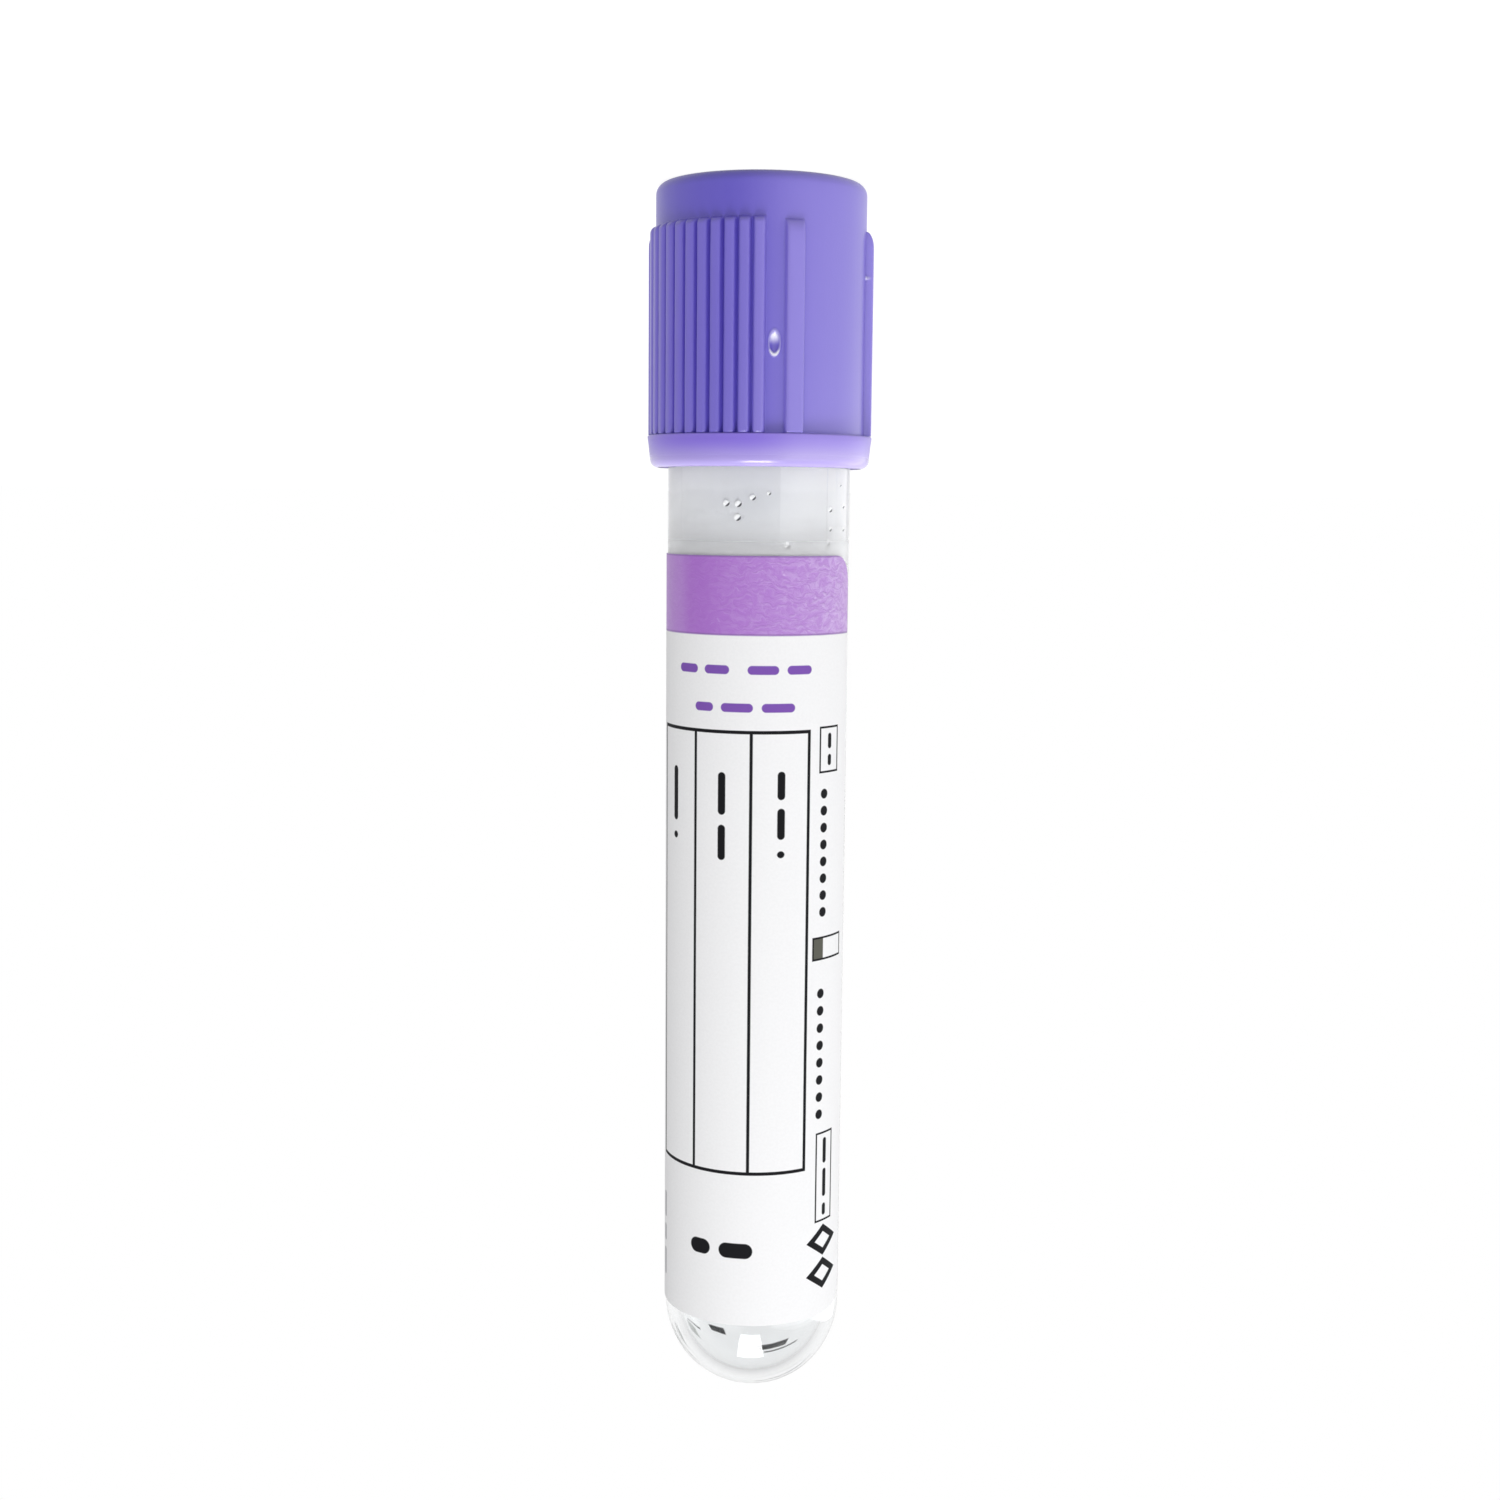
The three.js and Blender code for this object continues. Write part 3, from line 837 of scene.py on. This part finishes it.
# The purple is painted a little paler towards the label's left: a painted reflection.
left_gleam = u.fall(-6.6, -5.0) * 0.14
band_colour = wiring.blend(painted_sheen + left_gleam, BAND_PURPLE, BAND_SHEEN)
# Dark lines along the paper's top edge and its right end are painted shade at the cut edge; the line
# along the band's foot is print.
edge_shade_and_rule = union(
    [
        v.rise(LABEL_TOP - 0.15, LABEL_TOP - 0.06),
        bar(-40.0, 40.0, BAND_FOOT - 0.04, BAND_FOOT + 0.10),
        band_mask * u.rise(label_end - 0.14, label_end - 0.06),
    ]
)
colour = wiring.blend(fibre.rise(0.3, 0.7), PAPER, tuple(c * 0.975 for c in PAPER))
colour = wiring.blend(band_mask, colour, band_colour)
colour = wiring.blend(edge_shade_and_rule * 0.7, colour, BAND_LINE)
colour = wiring.blend(heading, colour, HEADING_INK)
colour = wiring.blend(thin * 0.7, colour, GREY_INK)
colour = wiring.blend(half_fill, colour, OLIVE_INK)
colour = wiring.blend(print_mask, colour, INK)
crinkle_height = band_mask * crinkle * (rightward * 0.8 + 0.3) + fibre * 0.04
solid = plastic(
    wiring,
    {
        "Base Color": colour,
        "Roughness": band_mask * -0.38 + 0.78,
        "Specular IOR Level": 0.22,
        "Normal": wiring.bump(crinkle_height, 9e-5),
    },
)
wiring.add("ShaderNodeOutputMaterial", None, {"Surface": solid})

corner_degrees = math.degrees(LABEL_CORNER / LABEL_RADIUS)
corner_swings = np.radians(np.linspace(0, 90, 11))
columns = [(LABEL_LEFT + corner_degrees * (1 - math.cos(s)), 1 - math.sin(s)) for s in corner_swings]
middle_angles = np.linspace(LABEL_LEFT + corner_degrees, LABEL_RIGHT - corner_degrees, 240)
columns += [(a, 0.0) for a in middle_angles[1:-1]]
columns += [
    (LABEL_RIGHT - corner_degrees * (1 - math.cos(s)), 1 - math.sin(s)) for s in corner_swings[::-1]
]
LABEL_ROWS = 24
row = LABEL_ROWS + 1
places = []
for angle, cut in columns:
    foot, top = LABEL_BOTTOM + cut * LABEL_CORNER, LABEL_TOP - cut * LABEL_CORNER
    places += [(angle, height) for height in np.linspace(foot, top, row)]
flat_places = [(math.radians(angle) * LABEL_RADIUS, height) for angle, height in places]
points, faces, corners = [], [], []
for skin in (LABEL_GAP + LABEL_THICKNESS, LABEL_GAP):
    points += [around(angle, tube_radius_at(height) + skin, height) for angle, height in places]
inner = len(places)
for i in range(len(columns) - 1):
    for j in range(LABEL_ROWS):
        a = i * row + j
        faces.append((a, a + row, a + row + 1, a + 1))
        faces.append((inner + a, inner + a + 1, inner + a + row + 1, inner + a + row))
    for j, flip in ((0, True), (LABEL_ROWS, False)):
        a = i * row + j
        rim = (a, a + row, inner + a + row, inner + a)
        faces.append(rim[::-1] if flip else rim)
for i, flip in ((0, False), (len(columns) - 1, True)):
    for j in range(LABEL_ROWS):
        a = i * row + j
        rim = (a, a + 1, inner + a + 1, inner + a)
        faces.append(rim[::-1] if flip else rim)
# The glued side takes its places from far off the print, so that it stays plain paper.
GLUED_SIDE = (-500.0, -200.0)
for face in faces:
    away_u, away_v = GLUED_SIDE if min(face) >= inner else (0.0, 0.0)
    for k in face:
        place_u, place_v = flat_places[k % inner]
        corners.append((place_u + away_u, place_v + away_v))
label_mesh = mesh_of("paper_label", points, faces, corners)
# The cut edge of the paper stays crisp. In degrees.
SHARP_EDGE = 40
label_mesh.set_sharp_from_angle(angle=math.radians(SHARP_EDGE))
piece("paper_label", label_mesh, paper, "tube", "label")

# ------------------------------------------------------------------------------- room and lights
# A plain pale floor and a white backdrop behind the tube. The room before it is darker. Two soft
# lamps stand to the right, and one shines down on the round bottom.

FLOOR_REACH = 3.0
FLOOR_TONE = (0.38, 0.38, 0.38)
FLOOR_SHADE = (0.16, 0.16, 0.16)
FLOOR_GLOW = 0.93


def matt_paint(wiring, tone):
    """Plain matt paint of a given tone."""
    return wiring.add("ShaderNodeBsdfDiffuse", None, {"Color": (*tone, 1)})


around_middle = [(-1, -1), (1, -1), (1, 1), (-1, 1)]
floor_corners = [(a * FLOOR_REACH, b * FLOOR_REACH, 0) for a, b in around_middle]
floor_mesh = mesh_of("floor", floor_corners, [(0, 1, 2, 3)])
floor_paint, wiring = new_material("pale_floor")
rays = wiring.add("ShaderNodeLightPath")
seen = union([rays.output(n) for n in ("Is Camera Ray", "Is Glossy Ray", "Is Transmission Ray")])
matt, shade = matt_paint(wiring, FLOOR_TONE), matt_paint(wiring, FLOOR_SHADE)
glow = wiring.add("ShaderNodeEmission", None, {"Color": (1, 1, 1, 1), "Strength": FLOOR_GLOW})
lit = wiring.add("ShaderNodeAddShader", None, {0: shade, 1: glow})
both = wiring.add("ShaderNodeMixShader", None, {0: seen, 1: matt, 2: lit})
# From below, the eye looks through the floor at the part's underside.
from_below = wiring.add("ShaderNodeNewGeometry", output="Backfacing") * rays.output("Is Camera Ray")
see_through = wiring.add("ShaderNodeBsdfTransparent")
both = wiring.add("ShaderNodeMixShader", None, {0: from_below, 1: both, 2: see_through})
wiring.add("ShaderNodeOutputMaterial", None, {"Surface": both})
floor_mesh.materials.append(floor_paint)
put("floor", floor_mesh)

# Strengths of the light from all around, of the backdrop, and of the room's front as it is
# mirrored in the tube.
AMBIENT = 0.79
BACKDROP = 1.0
ROOM_FRONT = 0.15
world = bpy.data.worlds.new("white_room")
bpy.context.scene.world = world
world.use_nodes = True
wiring = Wiring(world.node_tree)
rays = wiring.add("ShaderNodeLightPath")
direction = wiring.add("ShaderNodeTexCoord", output="Generated")
look = wiring.add("ShaderNodeSeparateXYZ", None, {0: direction})
backward = look.output("Y").rise(-0.5, 0.8)
room = backward * (BACKDROP - ROOM_FRONT) + ROOM_FRONT
first_look = 1 - rays.output("Diffuse Depth").math("MINIMUM", 1)
seen = union([rays.output(n) for n in ("Is Glossy Ray", "Is Transmission Ray")]) * first_look
around_light, walls, backdrop = (
    wiring.add("ShaderNodeBackground", None, {"Color": (1, 1, 1, 1), "Strength": strength})
    for strength in (AMBIENT, room, BACKDROP)
)
mirrored = wiring.add("ShaderNodeMixShader", None, {0: seen, 1: around_light, 2: walls})
in_view = rays.output("Is Camera Ray")
both = wiring.add("ShaderNodeMixShader", None, {0: in_view, 1: mirrored, 2: backdrop})
wiring.add("ShaderNodeOutputWorld", None, {"Surface": both})


def lamp(name, place, width, height, radiance):
    """A soft rectangular lamp aimed at the tube's middle, of a given surface brightness."""
    light = bpy.data.lights.new(name, "AREA")
    light.shape = "RECTANGLE"
    light.size, light.size_y = width, height
    light.energy = radiance * math.pi * width * height
    made = put(name, light)
    made.location = place
    aim = Vector((0, 0, tube_high.z / 2)) - Vector(place)
    made.rotation_euler = aim.to_track_quat("-Z", "Y").to_euler()


lamp("key_lamp", (-0.43, -0.25, 0.05), 0.66, 0.60, 1.0)
lamp("side_lamp", (-0.43, 0.25, 0.05), 0.45, 0.60, 1.0)
lamp("top_lamp", (0.010, -0.30, 0.48), 0.22, 0.26, 8.5)

# Dark cards behind the tube, which show only where the clear bottom bends the view onto them.
CARD_TONES = {"black_card": (0.02, 0.02, 0.02), "grey_card": (0.42, 0.44, 0.42)}
CARD_DISTANCE = 0.30
# Left and right edges, foot and top in metres, and the paint.
CARDS = [
    (-0.052, -0.004, 0.267, 0.283, "black_card"),
    (-0.085, -0.020, 0.290, 0.296, "black_card"),
    (0.026, 0.048, 0.238, 0.251, "black_card"),
    (0.080, 0.150, 0.262, 0.267, "black_card"),
    (0.110, 0.170, 0.276, 0.312, "grey_card"),
]
card_paints = {}
for name, tone in CARD_TONES.items():
    card_paints[name], wiring = new_material(name)
    wiring.add("ShaderNodeOutputMaterial", None, {"Surface": matt_paint(wiring, tone)})
for left, right, foot, top, paint in CARDS:
    card_corners = [(left, foot), (right, foot), (right, top), (left, top)]
    card_places = [(x, CARD_DISTANCE, z) for x, z in card_corners]
    card_mesh = mesh_of("card", card_places, [(0, 1, 2, 3)])
    card_mesh.materials.append(card_paints[paint])
    card = put("card", card_mesh)
    card.visible_camera = card.visible_diffuse = card.visible_shadow = False

# ---------------------------------------------------------------------------------------- camera
# The camera is turned over with the tube, so that the cap is uppermost, and looks a little down.

# Places in mm from the upright tube's tip, angles in radians, and the lens in mm.
CAMERA_HEIGHT = 65.06
CAMERA_SIDE = -0.481
CAMERA_DISTANCE = 142.7
CAMERA_PITCH = 0.1223
CAMERA_ROLL = 0.00883
CAMERA_LENS = 47.56
SENSOR_WIDTH = 36
NEAREST_SEEN = 0.01

camera_data = bpy.data.cameras.new("camera")
camera_data.lens = CAMERA_LENS
camera_data.sensor_width = SENSOR_WIDTH
camera_data.clip_start = NEAREST_SEEN
camera = put("camera", camera_data)
pose = (
    stand
    @ Matrix.Translation((CAMERA_SIDE, -CAMERA_DISTANCE, CAMERA_HEIGHT))
    @ Matrix.Rotation(math.pi / 2 - CAMERA_PITCH, 4, "X")
    @ Matrix.Rotation(CAMERA_ROLL, 4, "Z")
)
location, rotation, _ = pose.decompose()
camera.location = location
camera.rotation_mode = "QUATERNION"
camera.rotation_quaternion = rotation
bpy.context.scene.camera = camera

bpy.context.scene.view_settings.view_transform = "Standard"
